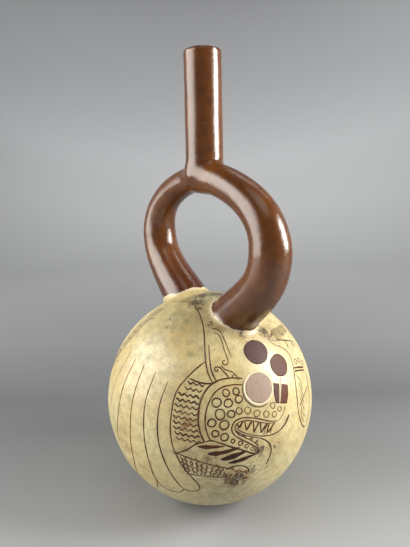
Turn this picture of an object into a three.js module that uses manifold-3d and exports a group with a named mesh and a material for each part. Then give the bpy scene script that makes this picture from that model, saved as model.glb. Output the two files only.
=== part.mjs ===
// Stirrup spout bottle in fired clay, millimetres, +Z up.
// It is one hollow piece: a round body with a small flat base, two bowed tubes that rise
// from its shoulders in the XZ plane, and the upright spout in which the tubes meet.
// The body and the spout stand on the Z axis, and the base rests on z = 0.
import * as THREE from "three";
import { mergeVertices } from "three/addons/utils/BufferGeometryUtils.js";
import Module from "manifold-3d";

// Body: two half ellipsoids that share one widest circle, cut flat where they stand.
const body = { radius: 70.3, widestAt: 68.1, riseAbove: 70.9, dropBelow: 71.8 };
const bodyWall = 4.5;
const baseThickness = 6;

// Spout: a tall tube that narrows a little, with a rounded lip above and a rounded heel below,
// which sits in the crown of the stirrup.
const spout = { top: 290, radiusBelow: 12.2, radiusAbove: 11.6, wall: 3.5, heel: 5 };
const lip = { outerRound: 1, innerRound: 0.7 };

// Stirrup: each tube leaves the crown at a slight fall, passes its widest place upright and
// leans in to its foot at footLean from upright. The two sides were bent by hand, so they
// differ: the pulls set how full each bend is, and growth how late a tube swells.
const crownHeight = 217.2;
const crownFall = THREE.MathUtils.degToRad(16);
const footLean = THREE.MathUtils.degToRad(46.8);
const stirrupWall = 3.6;
const sides = [
  {
    sign: 1,
    reach: 58.7, widestAt: 173.5, footReach: 29.5, footHeight: 132.1,
    crownPull: 10.6, pullUp: 32.4, pullDown: 20, footPull: 18.9,
    crownRadius: 10.2, bowRadius: 12.2, footRadius: 14.6, growth: 2.8,
  },
  {
    sign: -1,
    reach: 60.7, widestAt: 176.8, footReach: 28.4, footHeight: 133.4,
    crownPull: 5.7, pullUp: 36.2, pullDown: 21, footPull: 19,
    crownRadius: 8.8, bowRadius: 12.7, footRadius: 15.6, growth: 2,
  },
];
const footGrowth = 1.5; // how late a tube flares below its widest place
const footBedding = 8; // how far a tube's clay runs down into the wall of the body
const footOpening = 14; // how far its hollow runs on, to open into the body

// How finely the round forms are divided: facets go round a form, steps go along it.
const bodyDivision = { facets: 56, steps: 11 };
const hollowDivision = { facets: 40, steps: 8 };
const tubeDivision = { facets: 20, steps: 34 };
const boreDivision = { facets: 14, steps: 26 };
const spoutDivision = { facets: 32, heelSteps: 6, lipSteps: 4 };
const weld = 1e-3; // points closer than this are one point

const wasm = await Module();
wasm.setup();

// Points of an elliptical arc in a profile, x from the axis and y up.
function arc(centre, radiusX, radiusY, fromAngle, toAngle, steps) {
  const points = [];
  for (let i = 0; i <= steps; i++) {
    const angle = fromAngle + ((toAngle - fromAngle) * i) / steps;
    points.push(
      new THREE.Vector2(
        Math.max(0, centre.x + radiusX * Math.cos(angle)),
        centre.y + radiusY * Math.sin(angle),
      ),
    );
  }
  return points;
}

// A profile spun round the Z axis.
function turned(profile, facets) {
  return new THREE.LatheGeometry(profile, facets).rotateX(Math.PI / 2);
}

// A closed geometry as a solid that can be joined and cut.
function solid(geometry) {
  geometry.deleteAttribute("normal");
  geometry.deleteAttribute("uv");
  const merged = mergeVertices(geometry, weld);
  const corners = Array.from(merged.index.array);
  const faces = [];
  for (let i = 0; i < corners.length; i += 3) {
    const [a, b, c] = corners.slice(i, i + 3);
    if (a !== b && b !== c && c !== a) faces.push(a, b, c);
  }
  return new wasm.Manifold(
    new wasm.Mesh({
      numProp: 3,
      vertProperties: merged.attributes.position.array,
      triVerts: new Uint32Array(faces),
    }),
  );
}

// A solid as a geometry with flat facets.
function geometryOf(made) {
  const mesh = made.getMesh();
  const geometry = new THREE.BufferGeometry();
  geometry.setAttribute("position", new THREE.BufferAttribute(mesh.vertProperties, 3));
  geometry.setIndex(new THREE.BufferAttribute(mesh.triVerts, 1));
  const faceted = geometry.toNonIndexed();
  faceted.computeVertexNormals();
  return faceted;
}

// The body, drawn in by inset all round and cut flat at the height of floor.
function roundBody(inset, floor, { facets, steps }) {
  const centre = new THREE.Vector2(0, body.widestAt);
  const radius = body.radius - inset;
  const drop = body.dropBelow - inset;
  const floorAngle = -Math.asin((body.widestAt - floor) / drop);
  return turned(
    [
      new THREE.Vector2(0, floor),
      ...arc(centre, radius, drop, floorAngle, 0, steps),
      ...arc(centre, radius, body.riseAbove - inset, 0, Math.PI / 2, steps).slice(1),
    ],
    facets,
  );
}

// One side of the stirrup: its centre line from the crown to the foot, run on past the foot
// by extra.
function stirrupLine(side, extra) {
  const across = (x, z) => new THREE.Vector3(side.sign * x, 0, z);
  const slanted = (length, angle) => across(length * Math.sin(angle), length * Math.cos(angle));
  const top = across(0, crownHeight);
  const widest = across(side.reach, side.widestAt);
  const end = across(side.footReach, side.footHeight);
  const upperBow = new THREE.CubicBezierCurve3(
    top,
    top.clone().add(slanted(side.crownPull, Math.PI / 2 + crownFall)),
    widest.clone().add(across(0, side.pullUp)),
    widest,
  );
  const lowerBow = new THREE.CubicBezierCurve3(
    widest,
    widest.clone().sub(across(0, side.pullDown)),
    end.clone().add(slanted(side.footPull, footLean)),
    end,
  );
  const line = new THREE.CurvePath();
  line.add(upperBow);
  line.add(lowerBow);
  line.add(new THREE.LineCurve3(end, end.clone().sub(slanted(extra, footLean))));
  return line;
}

// The radius of one side's tube at any share of the way along its line, less inset.
function stirrupRadius(side, line, inset) {
  const lengths = line.getCurveLengths();
  const whole = lengths[lengths.length - 1];
  return (share) => {
    const along = share * whole;
    const above = Math.min(1, along / lengths[0]);
    const below = THREE.MathUtils.clamp((along - lengths[0]) / (lengths[1] - lengths[0]), 0, 1);
    return (
      side.crownRadius +
      (side.bowRadius - side.crownRadius) * Math.pow(above, side.growth) +
      (side.footRadius - side.bowRadius) * Math.pow(below, footGrowth) -
      inset
    );
  };
}

// A rod bent along a line in the XZ plane: each ring of its points moves to its place there.
function bentTube(line, radiusAt, { facets, steps }) {
  const rod = new THREE.CylinderGeometry(1, 1, 1, facets, steps);
  const points = rod.attributes.position;
  const sideways = new THREE.Vector3(0, 1, 0);
  for (let i = 0; i < points.count; i++) {
    const share = points.getY(i) + 0.5;
    const radius = radiusAt(share);
    const along = line.getTangent(share);
    const outward = along.clone().cross(sideways);
    const place = line
      .getPoint(share)
      .addScaledVector(outward, radius * points.getX(i))
      .addScaledVector(sideways, radius * points.getZ(i));
    points.setXYZ(i, place.x, place.y, place.z);
  }
  return rod;
}

function stirrupSide(side, extra, inset, division) {
  const line = stirrupLine(side, extra);
  return solid(bentTube(line, stirrupRadius(side, line, inset), division));
}

// The clay of the spout: a rounded heel inside the crown, a straight taper and a rounded lip.
function spoutClay() {
  const quarter = Math.PI / 2;
  const { facets, heelSteps, lipSteps } = spoutDivision;
  const round = lip.outerRound;
  const edge = new THREE.Vector2(spout.radiusAbove - round, spout.top - round);
  const heel = new THREE.Vector2(0, crownHeight);
  return turned(
    [
      ...arc(heel, spout.radiusBelow, spout.heel, -quarter, 0, heelSteps),
      ...arc(edge, round, round, 0, quarter, lipSteps),
      new THREE.Vector2(0, spout.top),
    ],
    facets,
  );
}

// The bore of the spout, which opens at the top. The inner edge of the lip is rounded too.
function spoutBore() {
  const above = spout.top + 5; // the cutter runs on past the lip
  const round = lip.innerRound;
  const mouth = spout.radiusAbove - spout.wall;
  const edge = new THREE.Vector2(mouth + round, spout.top - round);
  return turned(
    [
      new THREE.Vector2(0, crownHeight),
      new THREE.Vector2(spout.radiusBelow - spout.wall, crownHeight),
      ...arc(edge, round, round, Math.PI, Math.PI / 2, spoutDivision.lipSteps),
      new THREE.Vector2(edge.x, above),
      new THREE.Vector2(0, above),
    ],
    spoutDivision.facets,
  );
}

function vesselSolid() {
  let clay = solid(roundBody(0, 0, bodyDivision)).add(solid(spoutClay()));
  let hollow = solid(roundBody(bodyWall, baseThickness, hollowDivision)).add(solid(spoutBore()));
  for (const side of sides) {
    clay = clay.add(stirrupSide(side, footBedding, 0, tubeDivision));
    hollow = hollow.add(stirrupSide(side, footOpening, stirrupWall, boreDivision));
  }
  return clay.subtract(hollow);
}

const slippedClay = new THREE.MeshStandardMaterial({ color: "#d9c792", roughness: 0.45, metalness: 0 });
const vessel = new THREE.Mesh(geometryOf(vesselSolid()), slippedClay);
vessel.name = "vessel";

const group = new THREE.Group();
group.add(vessel);
export default group;
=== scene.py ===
# Stirrup spout bottle with a fineline painting, dressed for a studio picture.
import bpy
import math
import numpy as np
from mathutils import Matrix


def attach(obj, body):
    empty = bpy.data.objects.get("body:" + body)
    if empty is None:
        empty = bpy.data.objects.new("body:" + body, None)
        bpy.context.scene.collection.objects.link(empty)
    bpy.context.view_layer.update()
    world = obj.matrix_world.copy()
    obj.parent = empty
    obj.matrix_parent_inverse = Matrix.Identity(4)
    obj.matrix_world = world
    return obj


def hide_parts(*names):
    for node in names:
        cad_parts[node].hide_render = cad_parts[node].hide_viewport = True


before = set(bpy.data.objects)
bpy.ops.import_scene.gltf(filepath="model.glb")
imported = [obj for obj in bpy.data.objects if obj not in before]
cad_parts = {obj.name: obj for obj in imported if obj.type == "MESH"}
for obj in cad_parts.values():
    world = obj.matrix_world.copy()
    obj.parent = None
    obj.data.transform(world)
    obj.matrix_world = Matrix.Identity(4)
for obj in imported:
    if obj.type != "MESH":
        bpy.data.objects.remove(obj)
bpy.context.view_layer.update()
mm = 0.001


def linearColour(hexCode):
    # sRGB hex to the linear colour that a shader takes
    channels = [int(hexCode[i : i + 2], 16) / 255 for i in (1, 3, 5)]
    return [c / 12.92 if c <= 0.04045 else ((c + 0.055) / 1.055) ** 2.4 for c in channels] + [1]


def addObject(name, data):
    made = bpy.data.objects.new(name, data)
    bpy.context.scene.collection.objects.link(made)
    return made


# ---- camera, lights and stage

cameraSettings = {
    "distance": 0.27075,  # from the bottle's axis
    "height": 0.20834,
    "heading": 0.9426,  # turn about Z, radians
    "side": 0.9373,  # where it stands round the bottle, radians
    "tiltDown": 0.201,
    "roll": -0.023,
    "lens": 27.19,
}


def addCamera():
    s = cameraSettings
    camera = addObject("studioCamera", bpy.data.cameras.new("studioCamera"))
    camera.data.lens = s["lens"]
    camera.data.sensor_width = 36
    camera.data.clip_start = 0.01
    x = s["distance"] * math.sin(s["side"])
    y = -s["distance"] * math.cos(s["side"])
    camera.matrix_world = (
        Matrix.Translation((x, y, s["height"]))
        @ Matrix.Rotation(s["heading"], 4, "Z")
        @ Matrix.Rotation(math.pi / 2 - s["tiltDown"], 4, "X")
        @ Matrix.Rotation(s["roll"], 4, "Z")
    )
    bpy.context.scene.camera = camera


addCamera()
print("camera placed")

# Each softbox: its turn from the camera's side, its reach and height in metres, what it faces (reach
# and height on its own side), its size and power.
softboxes = {
    "leftSoftbox": {
        "turn": -84, "reach": 0.78, "height": 0.42, "faces": (0, 0.12), "size": (0.8, 0.75),
        "watts": 11.6,
    },
    "rightSoftbox": {
        "turn": 82, "reach": 0.76, "height": 0.42, "faces": (0, 0.14), "size": (0.3, 0.45), "watts": 12.0,
    },
    "topSoftbox": {
        "turn": 10, "reach": 0.35, "height": 1.1, "faces": (0, 0), "size": (0.6, 0.6), "watts": 1.2,
    },
    "paperSoftbox": {
        "turn": 166, "reach": 0.6, "height": 1.2, "faces": (1.6, 0.4), "size": (1.4, 0.3), "watts": 16.5,
    },
}
softboxColour = "#fffaf2"


def addSoftboxes():
    for name, s in softboxes.items():
        light = bpy.data.lights.new(name, "AREA")
        light.shape = "RECTANGLE"
        light.size, light.size_y = s["size"]
        light.energy = s["watts"]
        light.color = linearColour(softboxColour)[:3]
        lamp = addObject(name, light)
        angle = cameraSettings["side"] - math.pi / 2 + math.radians(s["turn"])
        place = np.array([s["reach"] * math.cos(angle), s["reach"] * math.sin(angle), s["height"]])
        reach, height = s["faces"]
        back = place - np.array([reach * math.cos(angle), reach * math.sin(angle), height])
        back /= np.linalg.norm(back)
        across = np.cross([0, 0, 1], back)
        across /= np.linalg.norm(across)
        up = np.cross(back, across)
        lamp.visible_camera = False
        lamp.matrix_world = Matrix([[across[i], up[i], back[i], place[i]] for i in range(3)] + [[0, 0,
                                                                                                 0, 1]])


stageSettings = {
    "floorReach": 0.9,
    "bend": 0.7,
    "wallTop": 3.0,
    "facets": 96,
    "bendSteps": 24,
    "roughness": 0.9,
    "worldColour": "#dfe6f0",
    "worldStrength": 0.09,
    # the paper's grey by distance behind the bottle in metres, out along the floor and up the wall: a
    # painted shadow darkest just behind the bottle, and painted light and shade up the wall
    "paintedPaperShade": [(-0.25, "#a0a3a7"), (-0.06, "#9b9ea2"), (0.0, "#84878b"), (0.12, "#606368"),
              (0.28, "#74777c"),
              (0.7, "#8f9297"), (1.4, "#a3a7ac"), (1.8, "#a3a7ad"), (2.6, "#6f7278")],
}


def addNode(tree, kind, settings=None, **links):
    # one node with its settings; links are values or other nodes' outputs, by socket name
    node = tree.nodes.new(kind)
    for key, value in (settings or {}).items():
        setattr(node, key, value)
    for key, value in links.items():
        name = key.replace("_", " ").rstrip("0123456789")
        place = int(key[len(key.rstrip("0123456789")) :] or 0)
        sockets = [s for s in node.inputs if s.name == name and s.enabled]
        socket = sockets[place]
        if isinstance(value, bpy.types.NodeSocket):
            tree.links.new(value, socket)
        else:
            socket.default_value = value
    return node


def newMaterial(name):
    material = bpy.data.materials.new(name)
    material.use_nodes = True
    tree = material.node_tree
    tree.nodes.clear()
    shader = tree.nodes.new("ShaderNodeBsdfPrincipled")
    output = tree.nodes.new("ShaderNodeOutputMaterial")
    tree.links.new(shader.outputs[0], output.inputs[0])
    return material, tree, shader


def addStage():
    s = stageSettings
    profile = [(0.0, 0.0), (s["floorReach"], 0.0)]
    for i in range(1, s["bendSteps"] + 1):
        a = math.pi / 2 * i / s["bendSteps"]
        profile.append((s["floorReach"] + s["bend"] * math.sin(a), s["bend"] * (1 - math.cos(a))))
    profile.append((profile[-1][0], s["wallTop"]))
    facets = s["facets"]
    points, faces = [(0, 0, 0)], []
    for r, z in profile[1:]:
        for i in range(facets):
            a = 2 * math.pi * i / facets
            points.append((r * math.cos(a), r * math.sin(a), z))
    for i in range(facets):
        j = (i + 1) % facets
        faces.append((0, 1 + i, 1 + j))
        for ring in range(len(profile) - 2):
            lower, upper = 1 + ring * facets, 1 + (ring + 1) * facets
            faces.append((lower + i, upper + i, upper + j, lower + j))
    mesh = bpy.data.meshes.new("paperSweep")
    mesh.from_pydata(points, [], faces)
    mesh.polygons.foreach_set("use_smooth", [True] * len(mesh.polygons))
    sweep = addObject("paperSweep", mesh)
    material, tree, shader = newMaterial("matt paper with painted shade")
    place = addNode(tree, "ShaderNodeTexCoord").outputs["Object"]
    side = cameraSettings["side"]
    behind = (-math.sin(side), math.cos(side), 1.0)
    away = addNode(tree, "ShaderNodeVectorMath", {"operation": "DOT_PRODUCT"}, Vector0=place,
                   Vector1=behind)
    nearest, furthest = s["paintedPaperShade"][0][0], s["paintedPaperShade"][-1][0]
    share = addNode(tree, "ShaderNodeMapRange", Value=away.outputs["Value"], From_Min=nearest,
                    From_Max=furthest)
    # the ramp paints the shadow and light on the paper
    ramp = addNode(tree, "ShaderNodeValToRGB", Fac=share.outputs["Result"])
    stops = ramp.color_ramp.elements
    stops.remove(stops[1])
    for i, (reach, grey) in enumerate(s["paintedPaperShade"]):
        spot = (reach - nearest) / (furthest - nearest)
        if i:
            stops.new(spot)
        stops[i].position = spot
        stops[i].color = linearColour(grey)
    tree.links.new(ramp.outputs["Color"], shader.inputs["Base Color"])
    shader.inputs["Roughness"].default_value = s["roughness"]
    sweep.data.materials.append(material)
    world = bpy.data.worlds.new("studioAir")
    world.use_nodes = True
    background = world.node_tree.nodes["Background"]
    background.inputs["Color"].default_value = linearColour(s["worldColour"])
    background.inputs["Strength"].default_value = s["worldStrength"]
    bpy.context.scene.world = world
    bpy.context.scene.view_settings.view_transform = "Standard"


addSoftboxes()
addStage()
print("softboxes and paper sweep placed")

# ---- the vessel's form, in millimetres, as the distance from any point to its skin

vesselForm = {
    "bodyRadius": 70.3,
    "widestAt": 68.1,
    "riseAbove": 70.9,
    "dropBelow": 71.8,
    "bodyWall": 4.5,
    "baseThickness": 6.0,
    "baseRound": 1.6,  # how softly the foot turns into the flat base
    "spoutTop": 290.0,
    "spoutBelow": 12.2,
    "spoutAbove": 11.6,
    "spoutHeel": 5.0,
    "spoutWall": 3.5,
    "lipRound": 0.9,
    "crownHeight": 217.2,
    "crownFall": math.radians(16),
    "footLean": math.radians(46.8),
    "stirrupWall": 3.6,
    "footBedding": 8.0,
    "footOpening": 14.0,
    "voxel": 1.6,  # spacing of the mesh
    "unevenness": 0.1,  # how far the hand-smoothed skin strays, all of it inwards
}
stirrupSides = {
    "right": {
        "sign": 1, "reach": 58.7, "widestAt": 173.5, "footReach": 29.5, "footHeight": 132.1,
        "crownPull": 10.6, "pullUp": 32.4, "pullDown": 20.0, "footPull": 18.9,
        "crownRadius": 10.2, "bowRadius": 12.2, "footRadius": 14.6, "growth": 2.8,
    },
    "left": {
        "sign": -1, "reach": 60.7, "widestAt": 176.8, "footReach": 28.4, "footHeight": 133.4,
        "crownPull": 5.7, "pullUp": 36.2, "pullDown": 21.0, "footPull": 19.0,
        "crownRadius": 8.8, "bowRadius": 12.7, "footRadius": 15.6, "growth": 2.0,
    },
}
# Where the cream slip ends on each foot: its height over the body, how far that line wanders, and
# the raised bead of slip along it.
slipEdges = {
    "right": {"height": 1.1, "waver": 0.45, "bead": 0.35, "beadWidth": 0.9},
    "left": {"height": 3.2, "waver": 0.8, "bead": 0.6, "beadWidth": 1.4},
}
tubeLine = {"step": 0.25, "coarse": 16}  # spacing along a tube's line in mm, and steps to a coarse one
# How widely two forms melt together where they meet.
fillets = {"tubes": 9.0, "feet": 3.0, "spoutRight": 1.6, "spoutLeft": 4.5, "hollow": 2.0}


def smoothStep(x, low, high):
    t = np.clip((x - low) / (high - low), 0, 1)
    return t * t * (3 - 2 * t)


def smoothMin(a, b, width):
    h = np.maximum(width - np.abs(a - b), 0) / width
    return np.minimum(a, b) - h * h * width / 4


def smoothMax(a, b, width):
    return -smoothMin(-a, -b, width)


def bezier(corners, steps):
    t = np.linspace(0, 1, steps)[:, None]
    a, b, c, d = [np.array(p, float) for p in corners]
    return (1 - t) ** 3 * a + 3 * t * (1 - t) ** 2 * b + 3 * t * t * (1 - t) * c + t**3 * d


def stirrupLine(side):
    # centre line from the crown to the foot and on by the bedding, with its radius at each point
    f = vesselForm
    sign = side["sign"]
    top = np.array([0, f["crownHeight"]])
    widest = np.array([side["reach"], side["widestAt"]])
    foot = np.array([side["footReach"], side["footHeight"]])
    fall, lean = f["crownFall"], f["footLean"]
    leaving = top + side["crownPull"] * np.array([math.cos(fall), -math.sin(fall)])
    inward = np.array([math.sin(lean), math.cos(lean)])
    upper = bezier([top, leaving, widest + [0, side["pullUp"]], widest], 600)
    lower = bezier([widest, widest - [0, side["pullDown"]], foot + side["footPull"] * inward, foot],
                   600)[1:]
    beyond = foot - inward * np.linspace(0, f["footOpening"], 60)[1:, None]
    line = np.concatenate([upper, lower, beyond])
    along = np.concatenate([[0], np.cumsum(np.linalg.norm(np.diff(line, axis=0), axis=1))])
    bowAt, footAt = along[len(upper) - 1], along[len(upper) + len(lower) - 1]
    above = np.clip(along / bowAt, 0, 1)
    below = np.clip((along - bowAt) / (footAt - bowAt), 0, 1)
    radius = (
        side["crownRadius"]
        + (side["bowRadius"] - side["crownRadius"]) * above ** side["growth"]
        + (side["footRadius"] - side["bowRadius"]) * below**1.5
    )
    even = np.arange(0, along[-1], tubeLine["step"])
    line = np.stack([np.interp(even, along, line[:, i]) for i in (0, 1)], axis=1) * [sign, 1]
    direction = np.gradient(line, axis=0)
    direction /= np.linalg.norm(direction, axis=1)[:, None]
    return {"line": line, "direction": direction, "radius": np.interp(even, along, radius),
            "foot": footAt}


stirrupLines = {name: stirrupLine(side) for name, side in stirrupSides.items()}


def alongTube(p, name, extra):
    # how far along the tube's centre line each point is, and how far from that line
    tube = stirrupLines[name]
    line, direction = tube["line"], tube["direction"]
    last = (tube["foot"] + extra) / tubeLine["step"]
    coarse = np.arange(0, len(line), tubeLine["coarse"])
    flat = p[:, [0, 2]]
    near = np.empty(len(p))
    for start in range(0, len(p), 20000):
        block = flat[start : start + 20000]
        gaps = ((block[:, None] - line[coarse][None]) ** 2).sum(-1)
        near[start : start + 20000] = coarse[np.argmin(gaps, axis=1)]
    steps = np.arange(len(line))
    for _ in range(9):
        spot = np.stack([np.interp(near, steps, line[:, i]) for i in (0, 1)], axis=1)
        way = np.stack([np.interp(near, steps, direction[:, i]) for i in (0, 1)], axis=1)
        onward = ((flat - spot) * way).sum(1) / tubeLine["step"]
        near = np.clip(near + onward, 0, min(last, len(line) - 1))
    spot = np.stack([np.interp(near, steps, line[:, i]) for i in (0, 1)], axis=1)
    away = np.sqrt(((flat - spot) ** 2).sum(1) + p[:, 1] ** 2)
    return near, away, np.interp(near, steps, tube["radius"])


def tubeDistance(p, name, inset, extra):
    _, away, radius = alongTube(p, name, extra)
    return away - radius + inset


def bodyDistance(p, inset=0.0):
    f = vesselForm
    q = p - [0, 0, f["widestAt"]]
    tall = np.where(q[:, 2] > 0, f["riseAbove"], f["dropBelow"]) - inset
    wide = f["bodyRadius"] - inset
    size = np.stack([np.full(len(p), wide), np.full(len(p), wide), tall], axis=1)
    near = np.linalg.norm(q / size, axis=1)
    steep = np.maximum(np.linalg.norm(q / size**2, axis=1), 1e-9)
    return near * (near - 1) / steep


def spoutDistance(p):
    f = vesselForm
    across = np.hypot(p[:, 0], p[:, 1])
    slope = (f["spoutBelow"] - f["spoutAbove"]) / (f["spoutTop"] - f["crownHeight"])
    side = across - (f["spoutBelow"] - slope * (p[:, 2] - f["crownHeight"]))
    top = p[:, 2] - f["spoutTop"]
    r = f["lipRound"]
    corner = np.hypot(np.maximum(side + r, 0), np.maximum(top + r, 0)) - r
    tube = np.where((side > -r) & (top > -r), corner, np.maximum(side, top))
    q = p - [0, 0, f["crownHeight"]]
    size = np.array([f["spoutBelow"], f["spoutBelow"], f["spoutHeel"]])
    near = np.linalg.norm(q / size, axis=1)
    heel = near * (near - 1) / np.maximum(np.linalg.norm(q / size**2, axis=1), 1e-9)
    return np.where(p[:, 2] > f["crownHeight"], tube, heel)


def boreDistance(p):
    # the spout's bore, open above the lip, whose inner edge is rounded
    f = vesselForm
    across = np.hypot(p[:, 0], p[:, 1])
    slope = (f["spoutBelow"] - f["spoutAbove"]) / (f["spoutTop"] - f["crownHeight"])
    side = across - (f["spoutBelow"] - f["spoutWall"] - slope * (p[:, 2] - f["crownHeight"]))
    return smoothMax(side, f["crownHeight"] - p[:, 2], 2.0)


wander = {"waves": 26, "shortest": 16, "longest": 46, "calm": 5}  # lengths in mm
waveMaker = np.random.default_rng(7)
waveDirections = waveMaker.normal(size=(wander["waves"], 3))
waveDirections /= np.linalg.norm(waveDirections, axis=1)[:, None]
waveLengths = waveMaker.uniform(wander["shortest"], wander["longest"], wander["waves"])
wavePhases = waveMaker.uniform(0, 2 * math.pi, wander["waves"])


def unevenSkin(p):
    # a slow wander between -1 and 1, as hand smoothing leaves
    total = np.zeros(len(p))
    for way, length, phase in zip(waveDirections, waveLengths, wavePhases):
        total += np.sin(p @ way * (2 * math.pi / length) + phase)
    return np.tanh(total / wander["calm"])


def overSlipEdge(p):
    # how far above the end of the cream slip each point lies; the red slip is where this is over 0
    share = smoothStep(p[:, 0], -6, 6)
    left, right = slipEdges["left"], slipEdges["right"]
    side = {key: left[key] * (1 - share) + right[key] * share for key in left}
    sway = 0.6 * np.sin(p[:, 0] * 0.31 + p[:, 1] * 0.24 + 1) + 0.4 * np.sin(p[:, 0] * 0.83 - p[:,
                                                                                               1] * 0.61)
    over = bodyDistance(p) - side["height"] - side["waver"] * sway
    return over, side["bead"] * (0.75 + 0.25 * sway), side["beadWidth"]


def hollowDistance(p):
    f = vesselForm
    room = smoothMax(bodyDistance(p, f["bodyWall"]), f["baseThickness"] - p[:, 2], 3.0)
    for name in stirrupSides:
        tube = tubeDistance(p, name, f["stirrupWall"], f["footOpening"])
        room = smoothMin(room, tube, fillets["hollow"])
    return smoothMin(room, boreDistance(p), fillets["hollow"])


def clayDistance(p):
    f = vesselForm
    body = smoothMax(bodyDistance(p), -p[:, 2], f["baseRound"] * 2)
    right = tubeDistance(p, "right", 0, f["footBedding"])
    left = tubeDistance(p, "left", 0, f["footBedding"])
    stirrup = smoothMin(right, left, fillets["tubes"])
    blend = fillets["spoutLeft"] + (fillets["spoutRight"] - fillets["spoutLeft"]) * smoothStep(p[:, 0],
                                                                                               -4, 4)
    stirrup = smoothMin(stirrup, spoutDistance(p), blend)
    whole = smoothMin(body, stirrup, fillets["feet"])
    over, bead, width = overSlipEdge(p)
    atFoot = smoothStep(2.6 - np.minimum(right, left), 0, 1.6)
    whole = whole - bead * np.exp(-(((over + 0.7 * width) / width) ** 2)) * atFoot
    fade = smoothStep(p[:, 2], 1, 14) * smoothStep(f["spoutTop"] - p[:, 2], 0.5, 8)
    return whole + f["unevenness"] * (1.9 + unevenSkin(p)) * fade


def vesselDistance(p):
    lipTop = p[:, 2] - vesselForm["spoutTop"]
    hollow = hollowDistance(p)
    rim = smoothMax(clayDistance(p), -hollow, 1.2)
    return np.where(lipTop > -8, rim, np.maximum(clayDistance(p), -hollow))


def steepest(distance, p):
    h = 0.05
    slopes = [(distance(p + step) - distance(p - step)) / (2 * h) for step in np.eye(3) * h]
    return np.stack(slopes, axis=1)


def ontoSkin(distance, p, offset=0.0, rounds=4):
    # moves each point along the slope until it lies offset outside the skin
    p = np.array(p, float)
    for _ in range(rounds):
        slope = steepest(distance, p)
        reach = np.clip(distance(p) - offset, -1.5, 1.5)
        p -= slope * (reach / np.maximum((slope**2).sum(1), 0.2))[:, None]
    return p


def addVessel():
    f = vesselForm
    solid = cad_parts["vessel"]
    piece = addObject("slippedVessel", solid.data.copy())
    remesh = piece.modifiers.new("evenMesh", "REMESH")
    remesh.mode = "VOXEL"
    remesh.voxel_size = f["voxel"] * mm
    graph = bpy.context.evaluated_depsgraph_get()
    mesh = bpy.data.meshes.new_from_object(piece.evaluated_get(graph))
    piece.modifiers.clear()
    piece.data = mesh
    mesh.materials.clear()
    count = len(mesh.vertices)
    flat = np.empty(count * 3)
    mesh.vertices.foreach_get("co", flat)
    p = flat.reshape(-1, 3) / mm
    p = ontoSkin(vesselDistance, p)
    p[:, 2] = np.clip(p[:, 2], 0, f["spoutTop"])
    mesh.vertices.foreach_set("co", (p * mm).ravel())
    mesh.polygons.foreach_set("use_smooth", [True] * len(mesh.polygons))
    mesh.update()
    print("vessel mesh", count, "points", len(mesh.polygons), "faces")
    return piece, p


def addMask(mesh, name, values):
    mask = mesh.attributes.new(name, "FLOAT", "POINT")
    mask.data.foreach_set("value", np.asarray(values, np.float32))


# ---- the skin: cream slip on the body, burnished red slip on the stirrup and spout

# Two sheets lie over the body, each with a middle point. Places on them are millimetres to the
# right and up from it, wrapped round so that lengths from the middle stay true.
paintSheets = {
    "front": {"azimuth": -36, "latitude": 20},
    "back": {"azimuth": 144, "latitude": 12},
}


def wrapRound(sheet, points):
    s = paintSheets[sheet]
    turn, rise = math.radians(s["azimuth"]), math.radians(s["latitude"])
    outward = np.array([math.cos(rise) * math.cos(turn), math.cos(rise) * math.sin(turn), math.sin(rise)])
    rightward = np.array([-math.sin(turn), math.cos(turn), 0])
    upward = np.cross(outward, rightward)
    flat = np.asarray(points, float)
    far = np.linalg.norm(flat, axis=1)
    angle = (far / vesselForm["bodyRadius"])[:, None]
    way = (flat[:, :1] * rightward + flat[:, 1:] * upward) / np.maximum(far, 1e-9)[:, None]
    ray = np.cos(angle) * outward + np.sin(angle) * way
    tall = np.where(ray[:, 2] > 0, vesselForm["riseAbove"], vesselForm["dropBelow"])
    wide = (ray[:, 0] ** 2 + ray[:, 1] ** 2) / vesselForm["bodyRadius"] ** 2
    reach = 1 / np.sqrt(wide + (ray[:, 2] / tall) ** 2)
    return ray * reach[:, None] + [0, 0, vesselForm["widestAt"]]


# Marks on the front sheet: place, reach and strength. The broad grey-green patches on top of the body round
# the stirrup's feet are painted shade; the rest are marks of age.
marks = {
    # grey-green: painted shade on top of the body round the stirrup's feet, and smaller grey smudges
    # elsewhere
    "smudgeAndShade": [(-18, 62, 20, 0.55), (-6, 76, 13, 0.9), (0, 60, 8, 0.5), (-11, 30, 2.5, 0.6),
             (-39.5, 30, 2, 0.6),
             (-53, 4, 3, 0.5), (-5, 34, 3.5, 0.4), (12, 88, 15, 0.9), (45, 46, 8, 0.4),
             (-32, 42, 10, 0.35),
             (-14, 18, 2, 0.5), (40, -30, 12, 0.25), (-70, -20, 12, 0.3), (10, -62, 18, 0.3)],
    "stain": [(-14, -8, 5.5, 0.9), (-16, -21, 4.5, 0.7), (-3, -26, 6, 0.45), (-12, -33, 6, 0.5),
              (5, -38, 7, 0.45),
              (16, -44, 8, 0.6), (28, -26, 4.5, 0.8), (8, 46, 4, 0.7), (22, 40, 5, 0.5), (38, 45, 5, 0.6),
              (-60, -34, 14, 0.35), (-22, 38, 5, 0.25), (5, -29, 5, 0.4)],
    "dirt": [(-9, 71, 6, 1.0), (-17, 78, 4.5, 0.8), (-4, 84, 7, 0.95), (8, 86, 9, 0.9), (-7, 64, 3, 0.8),
             (-26, 58, 3.5, 0.55), (-26, 50, 2.5, 0.75), (21, 41.5, 6, 0.55), (37, 46, 5, 0.9),
             (44, 43, 6, 0.5),
             (28, -27, 4.5, 0.95), (14, -45, 7.5, 0.9), (24, -40, 6, 0.6), (-20, -25, 2.5, 0.6),
             (0, -30, 8, 0.35),
             (-12, -30, 6, 0.45), (40, -26, 7, 0.35), (-53, 4, 3, 0.45), (-76, 34, 6, 0.5),
             (34, -38, 6, 0.35),
             (2, 50, 4, 0.6)],
}
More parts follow.
